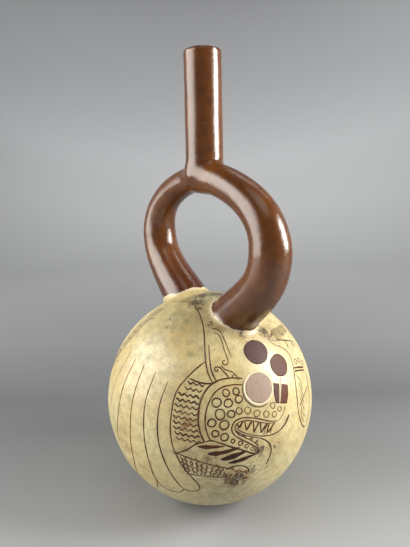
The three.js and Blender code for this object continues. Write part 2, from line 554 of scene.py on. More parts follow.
# The same marks elsewhere, strewn by chance: how many, least and greatest reach, greatest strength.
strewn = {"smudgeAndShade": (16, 4, 16, 0.5), "stain": (12, 3, 11, 0.5), "dirt": (18, 2, 7, 0.6)}
slipSettings = {
    # the duller cream mottles the slip, and is also the painted shade on the underside
    "creamPale": "#d8cd9c", "creamWarm": "#d2bb80", "creamDullAndShade": "#ab9d70", "creamLip": "#dccfae",
    # the grey-green colour is painted shade on top of the body, and smudges elsewhere
    "smudgeAndShade": "#6f6b4b", "stain": "#966535", "dirt": "#3b2c1c",
    # the darkest red is painted shade, laid down the tubes toward their feet
    "red": "#5c3314", "redWarm": "#704115", "redDeep": "#41210d", "redFootShade": "#461c0a",
    # the lip's fired grey is its own colour; the same colour paints the pit's shade
    "rawClay": "#5a3f2e", "firedLipAndPitShade": "#3a322b",
    "cloud": 24.0, "mottle": 5.0, "grain": 0.9, "brushMark": 2.2, "speck": 1.5,  # patterns in mm
    "pitShade": (11.9, 0.4, 233.4),  # a dark spot painted as the shade of a pit in the spout, in mm
    "creamRoughness": (0.3, 0.5), "redRoughness": (0.15, 0.29),
    "insideRoughness": 0.85,
    "grainBump": (0.5, 0.00012), "brushBump": (0.6, 0.0002),  # strength and height in metres
    "polish": 0.8,  # the sheen that rubbing with a pebble leaves
}
chance = np.random.default_rng(23)


def markMask(kind, p):
    spots = [(wrapRound("front", [(x, y)])[0], reach, strength) for x, y, reach, strength in marks[kind]]
    count, least, most, strongest = strewn[kind]
    for _ in range(count):
        at = chance.uniform([-95, -85], [95, 75])
        spots.append((wrapRound("back", [at])[0], chance.uniform(least, most),
                      chance.uniform(0.15, strongest)))
    total = np.zeros(len(p))
    for at, reach, strength in spots:
        away = ((p - at) ** 2).sum(1)
        total = np.maximum(total, strength * np.exp(-away / reach**2))
    return total


def addVesselMasks(piece, p):
    over, _, _ = overSlipEdge(p)
    inside = (hollowDistance(p) < 0.5) & (p[:, 2] < vesselForm["spoutTop"] - 6)
    tubes = np.minimum(tubeDistance(p, "right", 0, 8), tubeDistance(p, "left", 0, 8))
    masks = {
        "slipEdge": over,
        "inside": inside * 1.0,
        "footRing": np.exp(-(((np.maximum(tubes, 0)) / 2.2) ** 2)) * (over < 1),
        "lipFire": smoothStep(p[:, 2], vesselForm["spoutTop"] - 1.3, vesselForm["spoutTop"] - 0.2),
        # painted shade: the cream darkens over the last few mm above the floor
        "underside": 1 - smoothStep(p[:, 2], 0.2, 4),
    }
    for kind in marks:
        masks[kind] = markMask(kind, p)
    for name, values in masks.items():
        addMask(piece.data, name, values)


# What lies over what on each part of the skin, from the first colour up: a colour and its share.
skinLayers = {
    "cream": [
        ("creamPale", None), ("creamWarm", "warmCloud"), ("creamDullAndShade", "dullMottle"),
        ("creamDullAndShade", "dullGrain"),
        ("smudgeAndShade", "smudgeAndShadeShare"), ("stain", "stained"), ("dirt", "specks"), ("creamLip", "lipRing"),
        ("dirt", "gritty"),
    ],
    "red": [
        ("red", None), ("redWarm", "redCloud"), ("redDeep", "deepMottle"), ("redFootShade", "shadeTowardFoot"),
        ("redDeep", "redSpecks"), ("firedLipAndPitShade", "fired"), ("firedLipAndPitShade", "pitShade"),
    ],
}
# Each share: the pattern or mask it comes from, where that starts and ends, the least and most it
# gives, and what it is multiplied by.
skinShares = {
    "warmCloud": ("cloud", 0.38, 0.64, 0, 1, None),
    "dullMottle": ("mottle", 0.44, 0.68, 0, 0.8, None),
    "dullGrain": ("grain", 0.5, 0.7, 0, 0.65, None),
    # painted shade and smudges in grey-green, laid where that mask is strong
    "smudgeAndShadeShare": ("mottle", 0.28, 0.58, 0.5, 1, "smudgeAndShade"),
    "stained": ("mottle", 0.36, 0.62, 0, 1, "stain"),
    "specks": ("speck", 0.66, 0.73, 0, 0.45, None),
    "lipRing": ("slipEdge", -1.6, -0.4, 0, 0.9, "footRing"),
    "dirtReach": ("dirt", 0.05, 0.3, 0, 0.9, None),
    "gritty": ("grit", 0.62, 0.76, 0, 1, "dirtReach"),
    "redCloud": ("cloud", 0.4, 0.66, 0, 1, None),
    "deepMottle": ("mottle", 0.46, 0.7, 0, 0.5, None),
    # painted shade: the red darkens as the tubes come within 34 mm of the body
    "shadeTowardFoot": ("slipEdge", 34, 1, 0, 0.85, None),
    "redSpecks": ("speck", 0.66, 0.72, 0, 0.7, None),
    "fired": ("lipFire", 0, 1, 0, 0.85, None),
    # painted shade: the pit in the spout, as a dark spot
    "pitShade": ("pitAway", 0.0009, 0.0006, 0, 1, None),
    "isRed": ("raggedEdge", 0.755, 0.995, 0, 1, None),
    # painted shade on the underside, broken by the mottle
    "undersideShade": ("mottle", 0.35, 0.65, 0, 1, "underside"),
}


def vesselMaterial():
    # Burnished slip clay: the cream part is satin and mottled with age, with painted shade on top of the
    # body round the stirrup's feet and on its underside; the red part shines in long soft streaks, broken by
    # the marks of the smoothing pebble, and is painted darker down the tubes as shade, with a pit's shade
    # painted as a dark spot.
    s = slipSettings
    material, tree, shader = newMaterial("burnished slip clay")
    place = addNode(tree, "ShaderNodeTexCoord").outputs["Object"]
    found = {}
    for name in ("slipEdge", "inside", "footRing", "lipFire", "underside", "smudgeAndShade", "stain", "dirt"):
        found[name] = addNode(tree, "ShaderNodeAttribute", {"attribute_name": name}).outputs["Fac"]
    for name, size, detail, rough in (
        ("cloud", s["cloud"], 4, 0.6), ("mottle", s["mottle"], 5, 0.62), ("grain", s["grain"], 3, 0.6),
        ("brush", s["brushMark"], 4, 0.7), ("speck", s["speck"], 2, 0.5),
    ):
        pattern = addNode(
            tree, "ShaderNodeTexNoise", Vector=place, Scale=1000 / size, Detail=detail, Roughness=rough
        )
        found[name] = pattern.outputs["Fac"]
    pitShade = addNode(
        tree, "ShaderNodeVectorMath", {"operation": "DISTANCE"}, Vector0=place,
        Vector1=np.array(s["pitShade"]) * mm
    )
    found["pitAway"] = pitShade.outputs["Value"]
    for name, first, share, second in (
        ("grit", "dirt", 0.3, "brush"), ("raggedEdge", "brush", 1.75, "slipEdge"),
    ):
        total = addNode(
            tree, "ShaderNodeMath", {"operation": "MULTIPLY_ADD"}, Value0=found[first], Value1=share,
            Value2=found[second],
        )
        found[name] = total.outputs[0]
    for name, (source, low, high, least, most, part) in skinShares.items():
        share = addNode(
            tree, "ShaderNodeMapRange", Value=found[source], From_Min=low, From_Max=high, To_Min=least,
            To_Max=most
        )
        found[name] = share.outputs["Result"]
        if part:
            share = addNode(
                tree, "ShaderNodeMath", {"operation": "MULTIPLY"}, Value0=found[name], Value1=found[part]
            )
            found[name] = share.outputs[0]
    skins = {}
    for skin, layers in skinLayers.items():
        skins[skin] = linearColour(s[layers[0][0]])
        for above, share in layers[1:]:
            mix = addNode(
                tree, "ShaderNodeMix", {"data_type": "RGBA"}, Factor=found[share], A=skins[skin],
                B=linearColour(s[above]),
            )
            skins[skin] = mix.outputs["Result"]
    colour = skins["cream"]
    for above, share in (
        (skins["red"], "isRed"), (linearColour(s["rawClay"]), "inside"),
        # painted shade on the underside
        (linearColour(s["creamDullAndShade"]), "undersideShade"),
    ):
        mix = addNode(tree, "ShaderNodeMix", {"data_type": "RGBA"}, Factor=found[share], A=colour,
                      B=above)
        colour = mix.outputs["Result"]
    tree.links.new(colour, shader.inputs["Base Color"])
    satins = []
    for source, (least, most) in (("mottle", s["creamRoughness"]), ("brush", s["redRoughness"])):
        satin = addNode(
            tree, "ShaderNodeMapRange", Value=found[source], From_Min=0.35, From_Max=0.7, To_Min=least,
            To_Max=most
        )
        satins.append(satin.outputs["Result"])
    rough = addNode(
        tree, "ShaderNodeMix", {"data_type": "FLOAT"}, Factor=found["isRed"], A=satins[0], B=satins[1]
    )
    rough = addNode(
        tree, "ShaderNodeMix", {"data_type": "FLOAT"}, Factor=found["inside"], A=rough.outputs["Result"],
        B=s["insideRoughness"],
    )
    tree.links.new(rough.outputs["Result"], shader.inputs["Roughness"])
    strength, height = s["grainBump"]
    fine = addNode(tree, "ShaderNodeBump", Strength=strength, Distance=height, Height=found["grain"])
    strength, height = s["brushBump"]
    skin = addNode(
        tree, "ShaderNodeBump", Strength=strength, Distance=height, Height=found["brush"],
        Normal=fine.outputs["Normal"],
    )
    tree.links.new(skin.outputs["Normal"], shader.inputs["Normal"])
    shader.inputs["Specular IOR Level"].default_value = s["polish"]
    return material


vessel, vesselPoints = addVessel()
addVesselMasks(vessel, vesselPoints)
vessel.data.materials.append(vesselMaterial())
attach(vessel, "root")
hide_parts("vessel")
print("vessel slipped and burnished")

# ---- the painting, in fine brush lines and filled shapes

paintSettings = {
    "lift": {"lines": 0.06, "discs": 0.045, "reserved": 0.1},  # how proud each film stands, so that it shows
    "bedding": 0.3,  # how deep its closed underside lies in the slip
    "step": 0.9,  # spacing of the points along a stroke
    "fine": 0.6, "pen": 0.76, "heavy": 1.0,  # widths of the brush
    "brown": "#351a0e", "brownThin": "#5a3216", "wornLine": "#a98d5c",
    # the pale disc tone is rubbed wear, and on the great disc a painted highlight; the reserved cream is
    # painted paler than the slip as a highlight
    "plum": "#4b3130", "russet": "#5a2d18", "wornAndHighlightDisc": "#a48f80", "reserved": "#ddd0ae",
    "sheen": 0.3,
    "cloud": 4.5, "rub": 1.3,  # patterns in mm
    "bump": (0.5, 0.0001),  # strength and height in metres
}
brush = np.random.default_rng(11)
paintFilms = {"lines": [], "discs": [], "reserved": []}


def evenly(points, step):
    gaps = np.linalg.norm(np.diff(points, axis=0), axis=1)
    along = np.concatenate([[0], np.cumsum(gaps)])
    count = max(3, int(round(along[-1] / step)) + 1)
    spots = np.linspace(0, along[-1], count)
    return np.stack([np.interp(spots, along, points[:, i]) for i in (0, 1)], axis=1), along[-1]


def curveThrough(corners, closed=False, step=None):
    # a smooth curve through a few points
    c = np.array(corners, float)
    if closed:
        c = np.concatenate([c[-1:], c, c[:2]])
    else:
        c = np.concatenate([2 * c[:1] - c[1:2], c, 2 * c[-1:] - c[-2:-1]])
    t = np.linspace(0, 1, 13)[:-1, None]
    parts = []
    for a, b, d, e in zip(c, c[1:], c[2:], c[3:]):
        bend, twist = 2 * a - 5 * b + 4 * d - e, 3 * b - a - 3 * d + e
        parts.append(0.5 * (2 * b + (d - a) * t + bend * t**2 + twist * t**3))
    parts.append(c[-2:-1])
    return evenly(np.concatenate(parts), step or paintSettings["step"])[0]


def addFilm(kind, sheet, grid, closed=False, wear=0.0, tone=None):
    # grid holds rows of points on the sheet, each row going across the shape
    tone = brush.uniform(0, 1) if tone is None else tone
    paintFilms[kind].append({"sheet": sheet, "grid": grid, "closed": closed,
                             "wear": np.broadcast_to(wear, grid.shape[:1]), "tone": tone})


def stroke(sheet, line, width, closed=False, taper=0.6, wear=0.0, swell=None, kind="lines"):
    # a brush line, with a slightly unsteady width and ends that run out
    count = len(line)
    if closed:
        ahead = np.roll(line, -1, axis=0) - np.roll(line, 1, axis=0)
    else:
        ahead = np.gradient(line, axis=0)
    ahead /= np.maximum(np.linalg.norm(ahead, axis=1), 1e-9)[:, None]
    side = np.stack([-ahead[:, 1], ahead[:, 0]], axis=1)
    share = np.linspace(0, 1, count)
    phase = brush.uniform(0, 6.3, 2)
    pressure = 1 + 0.12 * np.sin(share * count * 0.31 + phase[0])
    pressure = pressure + 0.08 * np.sin(share * count * 0.83 + phase[1])
    if swell is not None:
        pressure = pressure * np.interp(share, np.linspace(0, 1, len(swell)), swell)
    if not closed:
        length = count * paintSettings["step"]
        ends = np.minimum(share, 1 - share) * length / max(taper, 1e-3)
        pressure = pressure * np.clip(0.35 + 0.65 * ends, 0.35, 1)
    half = width / 2 * pressure
    columns = max(2, int(math.ceil(half.max() * 2 / 1.3)) + 1)
    across = np.linspace(-1, 1, columns)
    grid = line[:, None, :] + side[:, None, :] * (half[:, None] * across[None, :])[:, :, None]
    if np.ndim(wear):
        wear = np.interp(share, np.linspace(0, 1, len(wear)), wear)
    addFilm(kind, sheet, grid, closed, wear)


def penLine(sheet, corners, width=None, **how):
    stroke(sheet, curveThrough(corners), width or paintSettings["pen"], **how)


def ring(sheet, centre, radius, width=None, wobble=0.05, **how):
    turns = np.linspace(0, 2 * math.pi, max(10, int(2 * math.pi * radius / 0.8)), endpoint=False)
    phase = brush.uniform(0, 6.3, 2)
    sway = np.sin(2 * turns + phase[0]) + 0.5 * np.sin(3 * turns + phase[1])
    r = radius * (1 + wobble * sway)
    line = np.stack([centre[0] + r * np.cos(turns), centre[1] + r * np.sin(turns)], axis=1)
    stroke(sheet, line, width or paintSettings["fine"], closed=True, **how)


def waves(sheet, base, depth, length, width, phase=0.0, **how):
    # a wavy line that follows a base line
    line, whole = evenly(curveThrough(base), 0.45)
    ahead = np.gradient(line, axis=0)
    ahead /= np.linalg.norm(ahead, axis=1)[:, None]
    along = np.linspace(0, whole, len(line))
    lift = depth * np.sin(along / length * 2 * math.pi + phase)
    line = line + np.stack([-ahead[:, 1], ahead[:, 0]], axis=1) * lift[:, None]
    stroke(sheet, line, width, **how)


def filled(sheet, first, second, columns, kind="discs", **how):
    # the patch between two lines that have as many points
    across = np.linspace(0, 1, columns)[None, :, None]
    addFilm(kind, sheet, first[:, None, :] * (1 - across) + second[:, None, :] * across, **how)


def roundPatch(sheet, centre, radius, squeeze=1.0, kind="discs", **how):
    # a filled disc: a square grid drawn in to a circle
    side = np.linspace(-1, 1, 17)
    x, y = np.meshgrid(side, side, indexing="ij")
    u, v = x * np.sqrt(1 - y * y / 2), y * np.sqrt(1 - x * x / 2)
    angle = np.arctan2(v, u)
    phase = brush.uniform(0, 6.3, 2)
    edge = 1 + 0.012 * np.sin(3 * angle + phase[0]) + 0.01 * np.sin(5 * angle + phase[1])
    grid = np.stack([centre[0] + radius * u * edge, centre[1] + radius * squeeze * v * edge], axis=2)
    addFilm(kind, sheet, grid, **how)


def spiral(sheet, centre, radius, turns, start, width=None, spin=1, stem=()):
    # a scroll that winds in from its stem
    t = np.linspace(0, 1, 40)
    angle = start + spin * t * turns * 2 * math.pi
    r = radius * (1 - 0.8 * t)
    coil = np.stack([centre[0] + r * np.cos(angle), centre[1] + r * np.sin(angle)], axis=1)
    line = evenly(np.concatenate([curveThrough(list(stem) + [coil[0]]),
                                  coil[1:]]) if len(stem) else coil, 0.6)[0]
    stroke(sheet, line, width or paintSettings["fine"])


def between(first, second, share):
    a, b = np.array(first, float), np.array(second, float)
    return a + (b - a) * share


def drawWing(sheet, mirror=1.0):
    # long feathers that sweep down from the shoulder, with rounded tips
    m = np.array([mirror, 1.0])
    feathers = [
        ([(-56, 38), (-60, 30), (-68, 19), (-74, 9), (-79, -3)], [1, 0.7, 0.8, 1]),
        ([(-50, 29), (-58, 14), (-62.5, 2), (-66, -10), (-69, -20), (-71, -31)], [0.5, 0.3, 0.3, 0.6]),
        ([(-41.5, 25), (-47, 10), (-50, 0), (-52, -12), (-54, -25), (-55, -38), (-57, -50), (-60, -60)],
         [0.5, 0.2, 0.2, 0.3]),
        ([(-32.5, 20), (-37, 9), (-39.5, 0), (-40.7, -10), (-41, -20), (-40.5, -30), (-39.7, -40),
          (-38.5, -49),
          (-35.5, -56), (-31, -59.5), (-26, -60), (-21.5, -58.5), (-19.3, -55.5), (-18.6, -53.5)],
         [0.6, 0.1, 0, 0, 0.1]),
        ([(-24, 14.5), (-27.5, 7), (-29.8, -1), (-31, -10), (-31, -19), (-29.5, -28), (-26.5, -38),
          (-22.8, -46.5),
          (-19, -53)], [0.6, 0.1, 0, 0, 0]),
    ]
    for corners, wear in feathers:
        penLine(sheet, np.array(corners) * m, wear=wear, swell=[0.7, 1, 1.1, 1.05])
    penLine(sheet, np.array([(-38.3, -51), (-38.6, -57), (-40.3, -62)]) * m, wear=0.2)


def drawTeeth(sheet, gum, facing, places, halves, reach, step, widths, wear):
    # pointed teeth on a gum line, whose tips lie at a share of the way to the line they face
    before, after = halves
    for share in np.linspace(*places):
        spots = (share - before, share, min(share + after, 1))
        a, b, c = [gum[int(q * (len(gum) - 1))] for q in spots]
        tip = between(b, facing[int(share * (len(facing) - 1))], reach)
        stroke(sheet, evenly(np.array([a, tip]), step)[0], widths[0])
        stroke(sheet, evenly(np.array([tip, c]), step)[0], widths[1], wear=wear)


def drawFront():
    s = paintSettings
    sheet = "front"
    drawWing(sheet)
    edge = [(-2.5, 25), (-7.5, 21.3), (-13, 16.3), (-17.5, 11.2), (-20.2, 6), (-22, -2.5), (-23, -11.3),
            (-22.5, -20),
            (-20.6, -26.5), (-17.3, -34), (-12.5, -41.5), (-8.3, -48.5), (-8.4, -53), (-13.2, -55),
            (-18.8, -53.6)]
    penLine(sheet, edge)
    # the bands that come down from the feet of the stirrup
    penLine(sheet, [(-32, 82), (-24, 77.5), (-16.5, 74), (-12.5, 71), (-9.4, 67), (-6.3, 59),
                    (-3.9, 50), (-2.8, 40),
                    (-2.5, 30), (-1.4, 20), (1.3, 13.2)], wear=[0.5, 0.3, 0.2, 0, 0])
    penLine(sheet, [(-0.2, 35), (0.2, 26), (1.2, 19), (3.8, 13.8)], wear=[0.5, 0, 0])
    penLine(sheet, [(-11.8, 16), (-7.5, 14.2), (-3.1, 13), (1, 13)])
    penLine(sheet, [(1.8, 45.6), (4.4, 46), (7.4, 43.3), (9.4, 38), (11.2, 32.4), (12.8, 27.6)],
            s["fine"],
            wear=[0.3, 0.2, 0.5])
    penLine(sheet, [(3.4, 42.9), (6.2, 41.2), (7.8, 37), (9, 31), (10.6, 26.6)], s["fine"],
            wear=[0.3, 0.3, 0.2])
    spiral(sheet, (8.6, 24.6), 2.4, 1.0, 0.9, spin=-1)
    # the neighbouring figure's border, seen along the left
    for shift, width in ((0, s["pen"]), (2.6, s["fine"]), (5.4, s["pen"])):
        line = [(-90, 24), (-81, 33), (-67, 43), (-54, 55), (-44, 64.5), (-36, 71)]
        penLine(sheet, [(x - 0.7 * shift, y + 0.75 * shift) for x, y in line], width, wear=[0.1, 0, 0.2])
    penLine(sheet, [(-49, 60.5), (-45.5, 61.8), (-41.5, 61)], s["fine"])
    for i in range(9):
        x, y = -86 + 5.4 * i, 29 + 4.3 * i
        penLine(sheet, [(x - 1.9, y + 2), (x - 2.6, y + 4.4)], s["fine"])
    penLine(sheet, [(6.6, 22.6), (8.5, 20.4), (12.4, 19), (15, 16.8), (16.2, 14.4)], s["fine"], wear=0.2)
    spiral(sheet, (3.9, 20.4), 1.7, 1.2, 0.4, spin=1)
    penLine(sheet, [(5.4, 22.3), (7.4, 19.6), (9.9, 17), (10.6, 15)], s["pen"])
    penLine(sheet, [(12.3, 15.8), (13.4, 17.3), (15.2, 16.8), (15.4, 14.9)], s["fine"], wear=0.4)
    # the head: a collar of two arcs, spots inside it, and an open jaw with teeth
    penLine(sheet, [(18.6, 15.2), (11.3, 15.6), (4, 14.2), (-1.4, 10.6), (-5.4, 4), (-6.9, -3.8),
                    (-6.6, -10.5),
                    (-5, -16), (-3.8, -18.4)], s["heavy"], swell=[0.7, 1, 1, 1])
    penLine(sheet, [(18.6, 11.8), (11.3, 11.8), (5, 10), (0.7, 5.8), (-2.4, -1), (-3.2, -8.5),
                    (-1.9, -14.5),
                    (-0.2, -18.2)])
    spots = [(8.5, 7.5, 2.3), (3.1, 3.1, 2.8), (10, 2.1, 2.5), (14.6, 8.6, 2.1), (15.8, 4.2, 2.2),
             (4.9, -3.2, 3),
             (11.1, -3.7, 2.2), (15.7, -2, 2), (20.8, -2.3, 2.1), (26.4, -4.2, 2.1), (32, -5.5, 2.1),
             (36.6, -1, 1.9),
             (37.8, -6.3, 1.8), (41.8, -3.2, 1.6), (0.5, -7.9, 2.5), (7.5, -9.2, 2.7), (2.4, -13.9, 2.1),
             (7.3, -16.1, 2.3), (12.2, -18.3, 1.3), (16.1, -20.4, 1.5), (20.2, -22.4, 1.3),
             (23.4, -24.6, 1.2)]
    for x, y, r in spots:
        at = (x + brush.uniform(-0.3, 0.3), y + brush.uniform(-0.3, 0.3))
        ring(sheet, at, r * brush.uniform(0.84, 0.92), s["pen"] if r > 2 and x < 18 else s["fine"],
             wear=0.35 * (x > 18))
    outerLip = [(40, -10.3), (35, -9.8), (30, -8.2), (23.8, -6.6), (17.6, -6), (13.2, -7.6),
                (11.3, -11.3),
                (12.7, -15), (16.3, -17.6), (21.3, -20.7), (25.8, -23.6), (28, -25.2)]
    innerLip = [(38.8, -11.2), (33.8, -10.8), (28.8, -9.6), (22.8, -8), (17.8, -7.6), (14.5, -8.8),
                (13.1, -11.3),
                (15, -14.6), (18.8, -16.9), (23.8, -20), (27.6, -23.6)]
    tongue = [(13.8, -11.4), (17.6, -13.9), (23.8, -16.3), (30, -17.7), (36.2, -18.1), (41.6, -16.7),
              (46.5, -13),
              (50, -8)]
    under = [(13.8, -12.7), (17.6, -15.2), (23.8, -17.4), (29.4, -19.2), (33.7, -22.2), (36.2, -26.5),
             (36.2, -31.5),
             (34.5, -36.3)]
    penLine(sheet, outerLip)
    penLine(sheet, innerLip, s["fine"])
    penLine(sheet, tongue, s["pen"], swell=[0.6, 0.7, 0.8, 1.2, 1.5])
    penLine(sheet, under, s["pen"], swell=[0.6, 0.7, 1, 1.2, 1.3])
    gums = curveThrough(innerLip[:6][::-1]), curveThrough(tongue[:5])
    drawTeeth(sheet, *gums, (0.08, 0.88, 5), (0.08, 0.09), 0.78, 0.6, (s["pen"], s["heavy"]), 0)
    gums = curveThrough(innerLip[6:]), curveThrough(under[:4])
    drawTeeth(sheet, *gums, (0.18, 0.88, 4), (0.05, 0.06), 0.8, 0.5, (s["fine"], s["fine"]), 0.3)
    for x in (32.9, 34.6, 37.4):
        penLine(sheet, [(x, -11), (x - 1.6, -14.2), (x - 2.4, -17.2)], s["fine"], wear=0.3)
    penLine(sheet, [(46.4, -2), (45.3, -5.4), (42.8, -8.8), (40, -10.6)], s["fine"], wear=0.6)
    penLine(sheet, [(-3.8, -18.4), (0, -17.6), (5, -19.3), (11.3, -21.9), (17.5, -24.4), (22.5, -26.8),
                    (26.8, -28),
                    (28, -25.2)], s["pen"], swell=[0.8, 1, 1.3, 1.5, 1])
    # rows of waves between the wing and the collar
    for i in range(11):
        y = 13.2 - 3.05 * i
        left = -22.2 + 0.045 * (y + 8) ** 2 * 0.32 + (2.2 if i < 2 else 0)
        right = -7.6 + 0.06 * (y + 5) ** 2 * 0.22
        waves(sheet, [(left + 0.7, y + 0.8), ((left + right) / 2, y - 0.3), (right, y - 1.4)], 0.62, 3.3,
              brush.uniform(0.62, 0.9), brush.uniform(0, 1.2),
              wear=[0, 0.25 * (3 < i < 9), 0.35 * (3 < i < 9), 0])
    penLine(sheet, [(-20.4, -25.7), (-14.5, -23.4), (-9, -19.8), (-3.8, -18.4)])
    # dark pointed plumes under the jaw
    for a, b, c, thick in [((-8, -20.9), (-1.5, -21.3), (7.5, -21.2), 2.1),
                           ((-2.4, -25.5), (5.5, -25), (16, -22.6), 2.6),
                           ((5, -29.4), (11.5, -28), (20.5, -25), 3),
                           ((9.3, -31.9), (15.5, -31), (25.4, -28.2), 2.4)]:
        leaf = curveThrough([a, b, c], step=0.8)
        stroke(sheet, leaf, thick, taper=1.6, swell=[0.55, 1, 1, 0.75, 0.3], kind="lines")
    # the banded leg and its mottled claw
    upper = [(-20.4, -25.7), (-10, -29.2), (0, -32.6), (7, -34.8), (13, -36.4)]
    lower = [(-15.2, -39.2), (-6, -40.4), (2, -41.3), (9.2, -42)]
    penLine(sheet, upper)
    penLine(sheet, lower, s["fine"], wear=0.2)
    top, bottom = curveThrough(upper), curveThrough(lower)
    for share in np.linspace(0.08, 0.84, 9):
        a = top[int(min(share, 1) * (len(top) - 1))]
        b = bottom[int(max(0, share - 0.08) * (len(bottom) - 1))]
        waves(sheet, [between(a, b, 0.08), between(a, b, 0.5), between(a, b, 0.92)], 0.55, 3, s["pen"],
              brush.uniform(0, 6), wear=0.15)
    penLine(sheet, [(8.2, -36.5), (11.5, -34.8), (16, -34.4), (20.5, -36.4), (22.2, -39.5), (20, -41)],
            s["pen"])
    for i in range(64):
        x, y = 14.6 + brush.uniform(-7.6, 7.6), -42.6 + brush.uniform(-7.4, 7.4)
        if math.hypot((x - 14.6) / 7.8, (y + 42.6) / 7.6) > 1:
            continue
        turn, bend = brush.uniform(0, 6.3), brush.uniform(0.5, 1.3)
        corners = [(x + bend * math.cos(turn + k * 1.4),
                    y + bend * math.sin(turn + k * 1.4)) for k in range(4)]
        penLine(sheet, corners, brush.uniform(0.4, 0.9), wear=brush.uniform(0, 0.6))
    # the band at the right, with its bars, spots and slanted hatching
    penLine(sheet, [(42.4, 37.4), (45.4, 36.1), (52, 34.5), (57.2, 30), (58.5, 22), (58, 14),
                    (58.4, 2.5), (59.5, -7),
                    (62.3, -14.5), (66, -19), (71, -22.6)], s["pen"], wear=[0.5, 0.2, 0.1])
    for y, width in ((20.8, 1.3), (18.6, 1.1)):
        penLine(sheet, [(59.2, y), (66, y + 0.6), (74, y + 0.8)], width)
    for x, y in ((63, 25.6), (68.6, 26.8), (74, 25.2)):
        ring(sheet, (x, y), 1.8, s["fine"])
    penLine(sheet, [(61.3, -4.5), (66, -0.5), (71, 4), (76.5, 8)], s["fine"])
    penLine(sheet, [(71, -22.6), (75, -20), (77.5, -13), (78, -4), (77.5, 8), (77, 19)], s["pen"])
    for i in range(7):
        y = 16 - 4.8 * i
        penLine(sheet, [(61.5 + 0.3 * i, y), (64.6, y - 5.2), (66.5 + 0.5 * i, y - 10.5)], s["fine"],
                wear=0.35)
    penLine(sheet, [(40.1, 43), (41, 39.6), (42.4, 37.4)], s["fine"], wear=0.2)
    penLine(sheet, [(40.1, 43), (43, 42.4), (45, 44.6), (45.3, 48.2)], s["fine"], wear=0.1)
    for i in range(14):
        x, y = 45.3 + 1.4 * i, 48.4 + 0.8 * i
        penLine(sheet, [(x, y), (x + 1.9, y - 4.6), (x + 4.2, y - 9 + 0.2 * i)], s["fine"], wear=0.15)
    for i in range(4):
        x, y = 46 + 4.1 * i, 39.6 + 0.5 * i
        penLine(sheet, [(x, y), (x + 6, y + 1.6), (x + 12, y + 1.2)], s["fine"], wear=0.3)
    penLine(sheet, [(57.1, 41.8), (58.3, 38.6), (58.8, 35.8)], s["pen"])
    penLine(sheet, [(64.7, 40.5), (66.8, 39.2), (68.6, 37.2)], s["heavy"])


def drawSideBand(sheet, x, bottom, top):
    # an upright border of two lines with a row of steps between them
    s = paintSettings
    for shift in (0, 8):
        penLine(sheet, [(x + shift, bottom), (x + shift + 1.2, (bottom + top) / 2), (x + shift, top)],
                s["pen"])
    for i in range(int((top - bottom) / 7)):
        y = bottom + 2 + 7 * i
        penLine(sheet, [(x + 1.4, y), (x + 4.4, y + 2.6), (x + 7, y + 1.4)], s["fine"], wear=0.2)
        ring(sheet, (x + 4.4, y + 4.9), 1.1, s["fine"], wear=0.2)


def drawBack():
    # the hidden side, plainer: a second wing, a ringed disc with rays, and borders
    s = paintSettings
    sheet = "back"
    drawWing(sheet, -1)
    penLine(sheet, [(4, 24), (9, 20), (15, 13), (19, 5), (21, -4), (22.4, -13), (21.6, -22), (18, -33),
                    (12, -42),
                    (8.6, -49), (9.4, -53.6), (14, -55), (18.9, -53.5)])
    for i in range(9):
        y = 12 - 3.6 * i
        waves(sheet, [(8.5, y - 1.2), (14, y), (19.4 - 0.05 * (y + 8) ** 2 * 0.3, y + 0.6)], 0.6, 3.4,
              brush.uniform(0.6, 0.85), brush.uniform(0, 1.2))
    penLine(sheet, [(4, 24), (6.6, 13), (7.4, 2), (7.2, -9), (5.2, -19), (2, -27)], s["heavy"])
    penLine(sheet, [(2, -27), (9, -26), (17, -25), (20.6, -25.6)])
    ring(sheet, (-14, 2), 13.6, s["heavy"], 0.012)
    ring(sheet, (-14, 2), 10.6, s["pen"], 0.012)
    for i in range(14):
        angle = 2 * math.pi * i / 14
        ring(sheet, (-14 + 12.1 * math.cos(angle), 2 + 12.1 * math.sin(angle)), 0.9, s["fine"])
    for i in range(11):
        angle = math.radians(205 + 13 * i)
        a = (-14 + 15.5 * math.cos(angle), 2 + 15.5 * math.sin(angle))
        b = (-14 + 23 * math.cos(angle + 0.06), 2 + 23 * math.sin(angle + 0.06))
        stroke(sheet, evenly(np.array([a, between(a, b, 0.5), b]), 0.8)[0], 1.7, taper=2.5,
               swell=[0.5, 1, 0.9, 0.3])
    for side in (-1, 1):
        spiral(sheet, (-14 + 9 * side, 24), 4.2, 1.5, math.pi / 2 - side * 1.2, spin=side)
        penLine(sheet, [(-14 + 5 * side, 22.2), (-14 + 3.2 * side, 19), (-14 + 2 * side, 15.8)])
    drawSideBand(sheet, -46, -30, 34)
    penLine(sheet, [(-56, 44), (-34, 47), (-12, 46), (4, 42)], wear=0.2)
    penLine(sheet, [(-55, 47.5), (-34, 50.6), (-12, 49.6), (6, 45)], s["fine"], wear=0.3)


